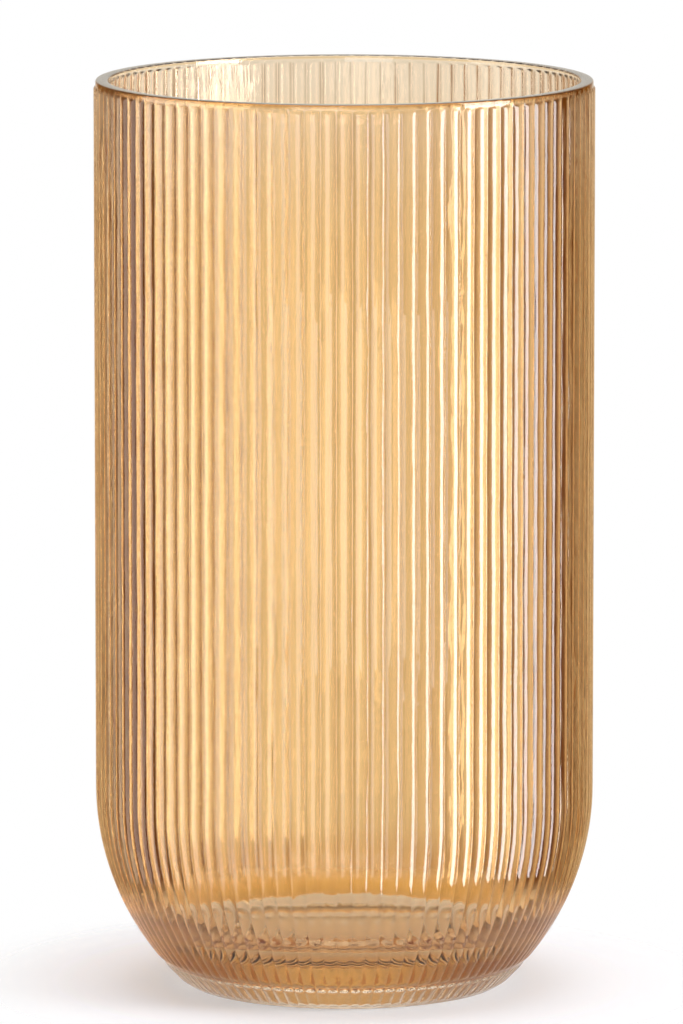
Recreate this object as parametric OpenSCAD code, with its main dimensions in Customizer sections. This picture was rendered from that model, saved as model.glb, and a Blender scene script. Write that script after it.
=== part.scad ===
// Tall ribbed cylinder vase of amber glass: a thick smooth base, a ribbed body that is open at the top,
// and a smooth fire-polished lip. The origin is the centre of the underside, and +Z runs up to the mouth.

/* [Overall] */
// Height from the table to the top of the lip
height = 300; // [220:1:360]
// Diameter over the rib crests on the straight wall
body_d = 164.5; // [130:0.5:200]

/* [Wall and bowl] */
// Thickness of the straight wall, from the rib crests to the bore
wall_t = 4.8; // [3.5:0.1:8]
// Height at which the straight wall starts to round in
bowl_rise = 66; // [50:1:90]
// Diameter that the bowl's side would reach at the table
foot_d = 106; // [80:0.5:120]
// Radius of the corner between the bowl and the floor inside
well_r = 28; // [8:1:30]

/* [Ribs] */
// Number of ribs around the wall
rib_count = 100; // [60:2:120]
// Depth of the grooves between ribs
rib_depth = 0.6; // [0.2:0.05:1]
// Height over which each rib rounds off under the lip
rib_end_h = 1.4; // [0.6:0.1:4]
// Height over which each rib rounds off at its lower end
rib_foot_h = 1.6; // [0.6:0.1:4]

/* [Base] */
// Height of the smooth base
base_h = 7.4; // [5:0.1:9]
// Height of the smooth band between the base and the ribs' lower ends
band_h = 1.6; // [0.6:0.1:3]
// Thickness of the glass under the inside floor
floor_t = 18.5; // [10:0.5:19.5]
// Radius of the base's bottom edge
foot_edge_r = 2.4; // [1:0.1:4]
// Width of the flat ring that the vase stands on
rest_ring_w = 7; // [4:0.5:12]
// Depth of the shallow hollow inside that ring
underside_hollow = 1.2; // [0.5:0.1:2]

/* [Lip] */
// Height of the smooth lip above the ribs
lip_h = 1.6; // [1.3:0.1:4]
// Rounding of the lip's two edges
lip_edge_r = 0.6; // [0.4:0.1:1.2]

/* [Hidden] */
amber = "#d9a45f";
$fn = 96;

rib_steps = 4;      // points along one rib's curved face
bowl_rows = 6;      // rows of rib faces from the base to the straight wall
rib_end_rows = 2;   // rows of rib faces in each rounded rib end
arc_steps = 10;     // straight steps in each turned arc

body_r = body_d / 2;
foot_r = foot_d / 2;
bore_r = body_r - wall_t;
lip_r = body_r - rib_depth;
lip_z = height - lip_h;
rib_top_z = lip_z - rib_end_h;
band_top_z = base_h + band_h;
rib_foot_z = band_top_z + rib_foot_h;

// The bowl's side is one arc, upright at bowl_rise, that would come down to foot_r at the table.
bowl_in = body_r - foot_r;
bowl_r = (bowl_in * bowl_in + bowl_rise * bowl_rise) / (2 * bowl_in);
bowl_centre = [body_r - bowl_r, bowl_rise];

function bowl_radius(z) = bowl_centre.x + sqrt(pow(bowl_r, 2) - pow(bowl_rise - z, 2));

// The base and the band over it are as wide as the grooves are deep, so the ribs stand a little proud of them.
base_top_r = bowl_radius(base_h) - rib_depth;
base_arc_r = norm([base_top_r, base_h] - bowl_centre);

function arc(centre, radius, from, to, first = 0) = [
    for (i = [first : arc_steps])
        let (a = from + (to - from) * i / arc_steps)
        centre + radius * [cos(a), sin(a)]
];

// A turned outline from a flat floor round a corner and up the bowl's side, which has its own radius.
function bowl_outline(side_r, floor_z, corner_r, top_z) =
    let (
        corner_up = bowl_rise - floor_z - corner_r,
        corner_x = bowl_centre.x + sqrt(pow(side_r - corner_r, 2) - pow(corner_up, 2)),
        corner = [corner_x, floor_z + corner_r],
        join_a = -asin(corner_up / (side_r - corner_r))
    )
    concat(
        arc(corner, corner_r, -90, join_a),
        arc(bowl_centre, side_r, join_a, -asin((bowl_rise - top_z) / side_r), 1)
    );

// One ring of the ribbed surface is [height, crest radius, groove depth], and rise says how much of the rib stands.
function bowl_ring(z, rise) = [z, bowl_radius(z) - rib_depth * (1 - rise), rib_depth * rise];

function ribbed_rings() =
    let (low_a = -asin((bowl_rise - rib_foot_z) / bowl_r))
    concat(
        [bowl_ring(base_h, 0), bowl_ring(band_top_z, 0)],
        [
            for (i = [1 : rib_end_rows])
                let (a = 90 * i / rib_end_rows)
                bowl_ring(band_top_z + rib_foot_h * (1 - cos(a)), sin(a))
        ],
        [
            for (i = [1 : bowl_rows])
                bowl_ring(bowl_rise + bowl_r * sin(low_a * (1 - i / bowl_rows)), 1)
        ],
        [[rib_top_z, body_r, rib_depth]],
        [
            for (i = [1 : rib_end_rows])
                let (a = 90 * i / rib_end_rows)
                [rib_top_z + rib_end_h * sin(a), lip_r + rib_depth * cos(a), rib_depth * cos(a)]
        ]
    );

function ring_points(ring, sides) = [
    for (i = [0 : sides - 1])
        let (
            across = 2 * ((i + rib_steps / 2) % rib_steps) / rib_steps - 1,
            r = ring[1] - ring[2] * across * across,
            a = 360 * i / sides
        )
        [r * cos(a), r * sin(a), ring[0]]
];

module ribbed_outside() {
    rings = ribbed_rings();
    sides = rib_count * rib_steps;
    bands = len(rings) - 1;
    floor_i = len(rings) * sides;
    top_i = floor_i + 1;
    polyhedron(
        points = concat(
            [for (ring = rings) each ring_points(ring, sides)],
            [[0, 0, base_h], [0, 0, lip_z]]
        ),
        faces = concat(
            [
                for (row = [0 : bands - 1], i = [0 : sides - 1])
                    let (low = row * sides, high = low + sides, next = (i + 1) % sides)
                    each [
                        [low + i, high + i, high + next],
                        [low + i, high + next, low + next]
                    ]
            ],
            [for (i = [0 : sides - 1]) [floor_i, i, (i + 1) % sides]],
            [for (i = [0 : sides - 1]) [top_i, bands * sides + (i + 1) % sides, bands * sides + i]]
        )
    );
}

module cavity() {
    rotate_extrude()
        polygon(concat(
            [[0, floor_t]],
            bowl_outline(bowl_r - wall_t, floor_t, well_r, bowl_rise),
            [[bore_r, height], [0, height]]
        ));
}

module ribbed_body() {
    color(amber)
        difference() {
            ribbed_outside();
            cavity();
        }
}

module lip() {
    outer_edge = [lip_r - lip_edge_r, height - lip_edge_r];
    inner_edge = [bore_r + lip_edge_r, height - lip_edge_r];
    color(amber)
        rotate_extrude()
            polygon(concat(
                [[bore_r, lip_z], [lip_r, lip_z]],
                arc(outer_edge, lip_edge_r, 0, 90),
                arc(inner_edge, lip_edge_r, 90, 180)
            ));
}

module base() {
    side = bowl_outline(base_arc_r, 0, foot_edge_r, base_h);
    ring_in_r = side[0].x - rest_ring_w;
    hollow_r = (pow(ring_in_r, 2) + pow(underside_hollow, 2)) / (2 * underside_hollow);
    hollow_centre = [0, underside_hollow - hollow_r];
    color(amber)
        rotate_extrude()
            polygon(concat(
                arc(hollow_centre, hollow_r, 90, 90 - asin(ring_in_r / hollow_r)),
                side,
                [[0, base_h]]
            ));
}

lip();
ribbed_body();
base();
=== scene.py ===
import math

import bpy
import numpy as np
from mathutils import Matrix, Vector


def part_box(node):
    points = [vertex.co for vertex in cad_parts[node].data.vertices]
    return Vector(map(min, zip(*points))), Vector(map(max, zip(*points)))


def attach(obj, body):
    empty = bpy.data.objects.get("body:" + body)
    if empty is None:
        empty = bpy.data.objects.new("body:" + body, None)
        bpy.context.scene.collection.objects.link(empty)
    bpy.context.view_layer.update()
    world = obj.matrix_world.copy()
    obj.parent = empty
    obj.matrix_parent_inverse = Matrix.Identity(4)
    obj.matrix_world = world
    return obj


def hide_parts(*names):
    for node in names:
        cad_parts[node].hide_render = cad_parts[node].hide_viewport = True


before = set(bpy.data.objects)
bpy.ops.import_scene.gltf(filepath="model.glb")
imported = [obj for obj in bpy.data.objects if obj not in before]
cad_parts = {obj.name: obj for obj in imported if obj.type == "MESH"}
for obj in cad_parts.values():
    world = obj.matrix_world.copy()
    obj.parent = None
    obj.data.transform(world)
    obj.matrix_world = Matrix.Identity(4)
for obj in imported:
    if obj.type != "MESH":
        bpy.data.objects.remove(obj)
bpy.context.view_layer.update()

millimetre = 0.001
nodeSpacing = 220  # keeps the nodes side by side in the editor, in the order they are made


def hexToLinear(code):
    values = [int(code[i:i + 2], 16) / 255 for i in (1, 3, 5)]
    return [v / 12.92 if v <= 0.04045 else ((v + 0.055) / 1.055) ** 2.4 for v in values] + [1.0]


def addNode(tree, kind, settings=None, links=None):
    node = tree.nodes.new(kind)
    node.location = (nodeSpacing * len(tree.nodes), 0)
    for name, value in (settings or {}).items():
        if name in node.inputs:
            node.inputs[name].default_value = value
        else:
            setattr(node, name, value)
    for name, source in (links or {}).items():
        tree.links.new(source, node.inputs[name])
    return node


# a long lens a few metres off, a little above the mouth and tilted down
cameraView = {
    "distance": 3.225,
    "height": 0.634,
    "sideStep": -0.00095,
    "tiltDown": math.radians(8.42),
    "focalLength": 347.6,
    "sensor": 36.0,
    "farthest": 100,
}


def makeCamera():
    lens = bpy.data.cameras.new("studioCamera")
    lens.lens = cameraView["focalLength"]
    lens.sensor_width = cameraView["sensor"]
    lens.sensor_fit = "AUTO"
    lens.clip_end = cameraView["farthest"]
    camera = bpy.data.objects.new("studioCamera", lens)
    camera.location = (cameraView["sideStep"], -cameraView["distance"], cameraView["height"])
    camera.rotation_euler = (math.pi / 2 - cameraView["tiltDown"], 0, 0)
    bpy.context.scene.collection.objects.link(camera)
    bpy.context.scene.camera = camera
    print("camera set", [round(v, 3) for v in camera.location])


makeCamera()

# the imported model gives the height, the crests' radius and where the three nodes meet
bodyLow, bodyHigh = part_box("ribbed_body")
lipLow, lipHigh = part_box("lip")
lipStart = lipLow[2]
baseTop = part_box("base")[1][2]
vaseHeight = lipHigh[2]
crestRadius = (bodyHigh[0] - bodyLow[0]) / 2

# the vase's glass: one closed skin, ribbed outside and smooth inside
vaseGlass = {
    "ribCount": 100,
    "ribDepth": 0.6 * millimetre,
    "ribRound": 2.2,                # power of the rib's rise: rounder than a plain curve, with sharp grooves
    "ribEnd": 1.4 * millimetre,     # each rib rounds off over this height under the lip
    "ribFoot": 1.6 * millimetre,    # and over this height at its lower end
    "bandTop": 9.0 * millimetre,    # smooth band from the base's panels up to the ribs
    "panelLow": 1.2 * millimetre,   # lower ends of the shallow panels round the base
    "panelEnd": 1.3 * millimetre,   # height of the panels' arched tops and lower ends
    "wall": 4.8 * millimetre,       # from the crests to the bore
    "bowlRise": 66 * millimetre,    # height at which the straight wall starts to round in
    "footRadius": 53 * millimetre,  # that the bowl's side would reach at the table
    "wellRadius": 28 * millimetre,  # corner between the bowl and the floor inside
    "floorThickness": 18.5 * millimetre,
    "footEdge": 2.4 * millimetre,
    "restRing": 7 * millimetre,
    "hollow": 1.2 * millimetre,
    "lipEdge": 0.6 * millimetre,
    # the amber coat: 0 is clear and 1 is the deepest colour
    "wallCoat": 0.5,
    # deepest up to the first height, and the wall's own from the second
    "deepBetween": (14 * millimetre, 44 * millimetre),
    "mouthPaintedReflection": 0.3,           # share of the wall's coat taken off at the mouth: a painted reflection, paler glass in place of reflected light
    "paintedReflectionHeight": 45 * millimetre,  # the painted reflection pales the coat over this height
    "lipCoat": 0.9,                 # deeper on the rim, where the eye looks down into the wall
    "underCoat": 0.35,              # inside the resting ring, which gives the floor its colour from above
    # rows and columns of the mesh
    "acrossRib": (-1, -0.9, -0.7, -0.4, 0, 0.4, 0.7, 0.9),  # closer together near the grooves
    "wallRows": 48,
    "bowlRows": 20,
    "endRows": 3,
    "lipStepRows": 4,
    "lipEdgeRows": 5,
    "footEdgeRows": 6,
    "hollowRows": 3,
    "insideRows": 36,
    "cornerRows": 10,
    "insideBowlRows": 12,
    "insidePerRibs": 4,             # outside columns to one inside column
    # hand-made unevenness: shares of the rib's depth and pitch, and how long the waves are in metres
    "depthSpread": 0.12,
    "pitchSpread": 0.03,
    "depthPeriods": (0.11, 0.043, 0.027),
    "sidePeriods": (0.16, 0.061, 0.033),
    # ripples inside: their depth, how many, how many turns of the bore, and their lengths in metres
    "ripple": 0.03 * millimetre,
    "rippleCount": 9,
    "rippleTurns": (5, 38),
    "ripplePeriods": (0.018, 0.09),
    "calmHeight": 0.006,            # they start half this height below the mouth, in metres
    "seed": 7,
}


def arcPoints(centre, radius, start, end, steps, skipFirst=True):
    angles = [start + (end - start) * i / steps for i in range(1 if skipFirst else 0, steps + 1)]
    return [(centre[0] + radius * math.cos(a), centre[1] + radius * math.sin(a)) for a in angles]


def bowlShape():
    g = vaseGlass
    inset = crestRadius - g["footRadius"]
    radius = (inset ** 2 + g["bowlRise"] ** 2) / (2 * inset)
    return (crestRadius - radius, g["bowlRise"]), radius


def bowlOutline(sideRadius, floorHeight, cornerRadius, topHeight, cornerSteps, sideSteps):
    centre, _ = bowlShape()
    cornerUp = centre[1] - floorHeight - cornerRadius
    reach = sideRadius - cornerRadius
    corner = (centre[0] + math.sqrt(reach ** 2 - cornerUp ** 2), floorHeight + cornerRadius)
    join = -math.asin(cornerUp / reach)
    side = arcPoints(corner, cornerRadius, -math.pi / 2, join, cornerSteps, skipFirst=False)
    top = -math.asin((centre[1] - topHeight) / sideRadius)
    return side + arcPoints(centre, sideRadius, join, top, sideSteps)


def outsideRings():
    g = vaseGlass
    centre, radius = bowlShape()

    def coatAndPaintedReflectionAt(z):  # the colour is a little paler towards the mouth, which is a painted reflection, and deeper round the bowl's floor
        paintedPaling = g["mouthPaintedReflection"] * min(1, max(0, 1 - (lipStart - z) / g["paintedReflectionHeight"]))
        low, high = g["deepBetween"]
        t = min(1, max(0, (high - z) / (high - low)))
        return g["wallCoat"] * (1 - paintedPaling) + (1 - g["wallCoat"]) * t * t * (3 - 2 * t)

    def crestAt(z):
        return centre[0] + math.sqrt(radius ** 2 - (centre[1] - z) ** 2)

    def ring(z, rise, coat):  # rise 0 is smooth at the grooves' depth, and 1 is the whole rib
        crest = crestAt(z)
        return (crest - g["ribDepth"] * (1 - rise), z, g["ribDepth"] * rise, coat * coatAndPaintedReflectionAt(z))

    steps = [i / g["endRows"] * math.pi / 2 for i in range(1, g["endRows"] + 1)]

    def risingRings(low, height, coat):  # the ribs round off to nothing at their lower ends
        return [ring(low + height * (1 - math.cos(a)), math.sin(a), coat) for a in steps]

    baseTopRadius = crestAt(baseTop) - g["ribDepth"]
    baseArc = math.hypot(baseTopRadius - centre[0], centre[1] - baseTop)
    foot = bowlOutline(baseArc, 0, g["footEdge"], g["panelLow"], g["footEdgeRows"], 1)
    ringIn = foot[0][0] - g["restRing"]
    hollowRadius = (ringIn ** 2 + g["hollow"] ** 2) / (2 * g["hollow"])
    hollow = arcPoints((0, g["hollow"] - hollowRadius), hollowRadius, math.pi / 2,
                       math.pi / 2 - math.asin(ringIn / hollowRadius), g["hollowRows"])
    rings = [(r, z, 0, g["underCoat"]) for r, z in hollow] + [(r, z, 0, 0) for r, z in foot]
    panelTop = baseTop - g["panelEnd"]
    rings += risingRings(g["panelLow"], g["panelEnd"], 0)
    rings += [ring(panelTop, 1, 0)]
    rings += [ring(panelTop + g["panelEnd"] * math.sin(a), math.cos(a), 0) for a in steps]
    rings += [ring(g["bandTop"], 0, 1)]
    rings += risingRings(g["bandTop"], g["ribFoot"], 1)
    lowAngle = -math.asin((centre[1] - g["bandTop"] - g["ribFoot"]) / radius)
    rings += [ring(centre[1] + radius * math.sin(lowAngle * (1 - i / g["bowlRows"])), 1, 1)
              for i in range(1, g["bowlRows"] + 1)]
    ribTop = lipStart - g["ribEnd"]
    for i in range(1, g["wallRows"] + 1):
        z = centre[1] + (ribTop - centre[1]) * i / g["wallRows"]
        rings.append((crestRadius, z, g["ribDepth"], coatAndPaintedReflectionAt(z)))
    lipRadius = crestRadius - g["ribDepth"]
    for i in range(1, g["lipStepRows"] + 1):
        rise = g["ribDepth"] * (1 + math.cos(math.pi * i / g["lipStepRows"])) / 2
        rings.append((lipRadius + rise, ribTop + g["ribEnd"] * i / g["lipStepRows"], rise, coatAndPaintedReflectionAt(ribTop)))
    edge = (lipRadius - g["lipEdge"], vaseHeight - g["lipEdge"])
    rounding = arcPoints(edge, g["lipEdge"], 0, math.pi / 2, g["lipEdgeRows"], skipFirst=False)
    rings += [(r, z, 0, g["lipCoat"]) for r, z in rounding]
    return rings


def insideRings():
    g = vaseGlass
    centre, radius = bowlShape()
    bore = crestRadius - g["wall"]
    edge = (bore + g["lipEdge"], vaseHeight - g["lipEdge"])
    rings = arcPoints(edge, g["lipEdge"], math.pi / 2, math.pi, g["lipEdgeRows"], skipFirst=False)
    top = rings[-1][1]
    rings += [(bore, top + (centre[1] - top) * i / g["insideRows"]) for i in range(1, g["insideRows"])]
    well = bowlOutline(radius - g["wall"], g["floorThickness"], g["wellRadius"], centre[1],
                       g["cornerRows"], g["insideBowlRows"])
    return rings + well[::-1]


def makeWaves(rng, count, periods):
    phases = rng.uniform(0, 2 * math.pi, (len(periods), count))

    def waves(z):
        parts = [np.sin(2 * math.pi * z / period + phase) for period, phase in zip(periods, phases)]
        return sum(parts) / len(periods)
    return waves


def buildVaseMesh():
    g = vaseGlass
    rng = np.random.default_rng(g["seed"])
    across = np.array(g["acrossRib"], dtype=float)
    perRib = len(across)
    columns = g["ribCount"] * perRib
    ribOf = np.arange(columns) // perRib
    nextRib = (ribOf + 1) % g["ribCount"]
    u = np.tile(across, g["ribCount"])
    rightward = (u + 1) / 2
    pitch = 2 * math.pi / g["ribCount"]
    angle = (ribOf + u / 2) * pitch
    depthOf = rng.uniform(-1, 1, g["ribCount"])
    depthWaves = makeWaves(rng, g["ribCount"], g["depthPeriods"])
    sideWaves = makeWaves(rng, g["ribCount"], g["sidePeriods"])
    outer = outsideRings()
    inner = insideRings()
    points = []
    for r, z, depth, _ in outer:
        deep = 1 + g["depthSpread"] * (depthOf + depthWaves(z))
        aside = g["pitchSpread"] * sideWaves(z)
        deep = deep[ribOf] * (1 - rightward) + deep[nextRib] * rightward
        aside = aside[ribOf] * (1 - rightward) + aside[nextRib] * rightward
        turn = angle + aside * pitch
        radius = r - depth * deep * np.abs(u) ** g["ribRound"]
        points.append(np.stack([radius * np.cos(turn), radius * np.sin(turn), np.full(columns, z)], 1))
    step = g["insidePerRibs"]
    innerColumns = columns // step
    innerAngle = angle[::step]
    rippleTurns = rng.integers(*g["rippleTurns"], g["rippleCount"])
    ripplePeriods = rng.uniform(*g["ripplePeriods"], g["rippleCount"])
    ripplePhases = rng.uniform(0, 2 * math.pi, g["rippleCount"])
    for r, z in inner:
        calm = min(1, max(0, (vaseHeight - z) / g["calmHeight"] - 0.5))
        ripple = sum(np.sin(n * innerAngle + 2 * math.pi * z / p + f)
                     for n, p, f in zip(rippleTurns, ripplePeriods, ripplePhases))
        ripple = ripple / math.sqrt(g["rippleCount"])
        radius = r + calm * g["ripple"] * ripple
        points.append(np.stack([radius * np.cos(innerAngle), radius * np.sin(innerAngle),
                                np.full(innerColumns, z)], 1))
    outerCount = len(outer) * columns
    innerCount = len(inner) * innerColumns
    points.append(np.array([[0, 0, g["hollow"]], [0, 0, g["floorThickness"]]]))
    points = np.concatenate(points)
    under, floor = outerCount + innerCount, outerCount + innerCount + 1
    faces = []

    def band(first, second, count):
        for i in range(count):
            j = (i + 1) % count
            faces.append((first + i, first + j, second + j, second + i))

    for row in range(len(outer) - 1):
        band(row * columns, (row + 1) * columns, columns)
    lastOuter = (len(outer) - 1) * columns
    for i in range(innerColumns):  # several outside columns gather into one inside column
        a, b = outerCount + i, outerCount + (i + 1) % innerColumns
        o = [lastOuter + (i * step + k) % columns for k in range(step + 1)]
        half = step // 2
        faces.extend((o[k], o[k + 1], a) for k in range(half))
        faces.append((o[half], b, a))
        faces.extend((o[k], o[k + 1], b) for k in range(half, step))
    for row in range(len(inner) - 1):
        band(outerCount + row * innerColumns, outerCount + (row + 1) * innerColumns, innerColumns)
    lastInner = outerCount + (len(inner) - 1) * innerColumns
    faces.extend((under, (i + 1) % columns, i) for i in range(columns))
    faces.extend((floor, lastInner + i, lastInner + (i + 1) % innerColumns) for i in range(innerColumns))
    mesh = bpy.data.meshes.new("vaseGlass")
    mesh.from_pydata(points.tolist(), [], faces)
    mesh.polygons.foreach_set("use_smooth", [True] * len(mesh.polygons))
    coat = np.zeros(len(points), dtype=np.float32)
    coat[:outerCount] = np.repeat([c for _, _, _, c in outer], columns)
    mesh.attributes.new("amberCoatAndPaintedReflection", "FLOAT", "POINT").data.foreach_set("value", coat)
    mesh.update()
    triangles = sum(len(f) - 2 for f in faces)
    print("vase glass", len(points), "points", triangles, "triangles")
    return mesh


# soda-lime glass blown in a ribbed mould: glossy and clear, with faint chill marks that break up the
# highlights. Its colour is a coat outside, honey on the walls and brown low in the bowl, with a faint tint
# in the glass itself.
amberGlass = {
    "ior": 1.5,
    "roughness": 0.0,
    "clear": "#FFFFFF",
    "wallColour": "#FCD59A",
    "deepColour": "#CA7F24",
    "tint": "#DDBB74",
    "tintDensity": 4.0,             # per metre
    "chillAcross": 1.6 * millimetre,
    "chillAlong": 9.0 * millimetre,
    "chillDepth": 0.03 * millimetre,
    "chillDetail": 1.0,
}


def makeAmberGlass():
    material = bpy.data.materials.new("amberSodaGlassMouldBlown")
    material.use_nodes = True
    tree = material.node_tree
    tree.nodes.clear()
    # the coat values also carry a painted reflection: the glass is paler towards the mouth
    coated = addNode(tree, "ShaderNodeAttribute", {"attribute_name": "amberCoatAndPaintedReflection"})
    colour = addNode(tree, "ShaderNodeValToRGB", links={"Fac": coated.outputs["Fac"]})
    stops = colour.color_ramp.elements
    stops.new(vaseGlass["wallCoat"])
    for stop, name in zip(stops, ("clear", "wallColour", "deepColour")):
        stop.color = hexToLinear(amberGlass[name])
    where = addNode(tree, "ShaderNodeTexCoord")
    across = 1 / amberGlass["chillAcross"]
    stretch = addNode(tree, "ShaderNodeMapping", {"Scale": (across, across, 1 / amberGlass["chillAlong"])},
                      {"Vector": where.outputs["Object"]})
    chill = addNode(tree, "ShaderNodeTexNoise", {"Scale": 1.0, "Detail": amberGlass["chillDetail"]},
                    {"Vector": stretch.outputs["Vector"]})
    bump = addNode(tree, "ShaderNodeBump", {"Distance": amberGlass["chillDepth"]},
                   {"Height": chill.outputs["Fac"]})
    shader = addNode(tree, "ShaderNodeBsdfPrincipled", {
        "Roughness": amberGlass["roughness"],
        "IOR": amberGlass["ior"],
        "Transmission Weight": 1.0,
    }, {"Base Color": colour.outputs["Color"], "Normal": bump.outputs["Normal"]})
    depth = addNode(tree, "ShaderNodeVolumeAbsorption", {
        "Color": hexToLinear(amberGlass["tint"]),
        "Density": amberGlass["tintDensity"],
    })
    addNode(tree, "ShaderNodeOutputMaterial", links={
        "Surface": shader.outputs["BSDF"],
        "Volume": depth.outputs["Volume"],
    })
    print("amber glass made")
    return material


def makeVase():
    vase = bpy.data.objects.new("vaseGlass", buildVaseMesh())
    bpy.context.scene.collection.objects.link(vase)
    vase.data.materials.append(makeAmberGlass())
    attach(vase, "root")
    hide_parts("lip", "ribbed_body", "base")


makeVase()

# a small round white table, and a room that is bright behind the vase and brown to the sides
studio = {
    "tableRadius": 0.14,
    "tableSolid": 0.085,            # from here out the table's edge fades away
    "tableSides": 96,
    "tableDrop": 0.0002,            # keeps the table just clear of the glass
    "tableColour": "#DDE1E8",
    "tableRoughness": 0.9,
    "tableShine": 0.2,
    "tableLift": 0.38,              # a faint glow that keeps the contact shadow light
    # colour of the room round the vase: degrees from straight behind it, to the right
    "roomBand": [
        (-180, "#8F6E44"), (-90, "#8A6230"), (-45, "#5E3008"), (-21, "#986628"), (-7, "#F1EADE"),
        (9, "#F1EADE"), (24, "#986628"), (48, "#5E3008"), (90, "#8A6230"), (180, "#8F6E44"),
    ],
    "ceiling": 2.3,
    "ceilingStart": 0.75,           # height of the direction, 1 being straight up, where the ceiling fades in
    "ceilingFull": 0.95,
    "seenRoom": 1.0,                # plain white, which the camera sees behind the vase
}


def makeTable():
    sides = studio["tableSides"]
    z = -studio["tableDrop"]
    ring = [(studio["tableRadius"] * math.cos(2 * math.pi * i / sides),
             studio["tableRadius"] * math.sin(2 * math.pi * i / sides), z) for i in range(sides)]
    mesh = bpy.data.meshes.new("studioTable")
    mesh.from_pydata(ring, [], [tuple(range(sides))])
    table = bpy.data.objects.new("studioTable", mesh)
    bpy.context.scene.collection.objects.link(table)
    material = bpy.data.materials.new("matteWhiteTable")
    material.use_nodes = True
    tree = material.node_tree
    tree.nodes.clear()
    where = addNode(tree, "ShaderNodeTexCoord")
    reach = addNode(tree, "ShaderNodeVectorMath", {"operation": "LENGTH"},
                    {"Vector": where.outputs["Object"]})
    fade = addNode(tree, "ShaderNodeMapRange", {
        "interpolation_type": "SMOOTHSTEP",
        "From Min": studio["tableSolid"],
        "From Max": studio["tableRadius"],
    }, {"Value": reach.outputs["Value"]})
    paint = addNode(tree, "ShaderNodeBsdfPrincipled", {
        "Base Color": hexToLinear(studio["tableColour"]),
        "Roughness": studio["tableRoughness"],
        "Specular IOR Level": studio["tableShine"],
        "Emission Color": hexToLinear(studio["tableColour"]),
        "Emission Strength": studio["tableLift"],
    })
    nothing = addNode(tree, "ShaderNodeBsdfTransparent")
    mixed = addNode(tree, "ShaderNodeMixShader", links={"Fac": fade.outputs["Result"]})
    tree.links.new(paint.outputs["BSDF"], mixed.inputs[1])
    tree.links.new(nothing.outputs["BSDF"], mixed.inputs[2])
    addNode(tree, "ShaderNodeOutputMaterial", links={"Surface": mixed.outputs["Shader"]})
    mesh.materials.append(material)
    print("table set")


def grey(value):
    return (value, value, value, 1)


def makeRoom():
    world = bpy.data.worlds.new("softStudio")
    bpy.context.scene.world = world
    world.use_nodes = True
    tree = world.node_tree
    tree.nodes.clear()
    where = addNode(tree, "ShaderNodeTexCoord")
    axes = addNode(tree, "ShaderNodeSeparateXYZ", links={"Vector": where.outputs["Generated"]})
    turn = addNode(tree, "ShaderNodeMath", {"operation": "ARCTAN2"})
    tree.links.new(axes.outputs["X"], turn.inputs[0])
    tree.links.new(axes.outputs["Y"], turn.inputs[1])
    place = addNode(tree, "ShaderNodeMapRange", {"From Min": -math.pi, "From Max": math.pi},
                    {"Value": turn.outputs["Value"]})
    band = addNode(tree, "ShaderNodeValToRGB", links={"Fac": place.outputs["Result"]})
    stops = studio["roomBand"]
    elements = band.color_ramp.elements
    while len(elements) < len(stops):
        elements.new(0.5)
    for element, (degrees, colour) in zip(elements, stops):
        element.position = degrees / 360 + 0.5
        element.color = hexToLinear(colour)
    above = addNode(tree, "ShaderNodeMapRange", {
        "interpolation_type": "SMOOTHSTEP",
        "From Min": studio["ceilingStart"],
        "From Max": studio["ceilingFull"],
    }, {"Value": axes.outputs["Z"]})
    lit = addNode(tree, "ShaderNodeMix", {"data_type": "RGBA"})
    tree.links.new(above.outputs["Result"], lit.inputs[0])
    tree.links.new(band.outputs["Color"], lit.inputs[6])
    lit.inputs[7].default_value = grey(studio["ceiling"])
    ray = addNode(tree, "ShaderNodeLightPath")
    final = addNode(tree, "ShaderNodeMix", {"data_type": "RGBA"})
    tree.links.new(ray.outputs["Is Camera Ray"], final.inputs[0])
    tree.links.new(lit.outputs[2], final.inputs[6])
    final.inputs[7].default_value = grey(studio["seenRoom"])
    glow = addNode(tree, "ShaderNodeBackground", links={"Color": final.outputs[2]})
    addNode(tree, "ShaderNodeOutputWorld", links={"Surface": glow.outputs["Background"]})
    print("room lit")


# azimuth is in degrees from straight in front, to the right, and low is the height of the bottom edge
softboxes = {
    "rightSoftbox": {"azimuth": 67, "distance": 1.5, "low": -0.9, "width": 0.65, "height": 1.9, "glow": 12},
    "leftSoftbox": {"azimuth": -85, "distance": 1.5, "low": -0.9, "width": 1.0, "height": 1.9, "glow": 2.2},
    "frontSoftbox": {"azimuth": -12, "distance": 1.9, "low": -1.1, "width": 0.8, "height": 1.6, "glow": 2.6},
    "frontPanel": {"azimuth": 8, "distance": 2.0, "low": -0.2, "width": 0.6, "height": 0.19, "glow": 3},
}


def makeSoftbox(name, box):
    light = bpy.data.lights.new(name, "AREA")
    light.shape = "RECTANGLE"
    light.size = box["width"]
    light.size_y = box["height"]
    light.energy = box["glow"] * math.pi * box["width"] * box["height"]  # the same glow at any size
    turn = math.radians(box["azimuth"])
    lamp = bpy.data.objects.new(name, light)
    lamp.location = (box["distance"] * math.sin(turn), -box["distance"] * math.cos(turn),
                     box["low"] + box["height"] / 2)
    lamp.rotation_euler = (math.pi / 2, 0, turn)
    lamp.visible_camera = False
    bpy.context.scene.collection.objects.link(lamp)
    print("softbox set", name)


makeTable()
makeRoom()
for name, box in softboxes.items():
    makeSoftbox(name, box)

# enough bounces for light to get through both walls
scene = bpy.context.scene
scene.view_settings.view_transform = "Standard"
scene.view_settings.look = "None"
scene.cycles.max_bounces = 24
scene.cycles.transmission_bounces = 24
scene.cycles.glossy_bounces = 8
scene.cycles.diffuse_bounces = 3
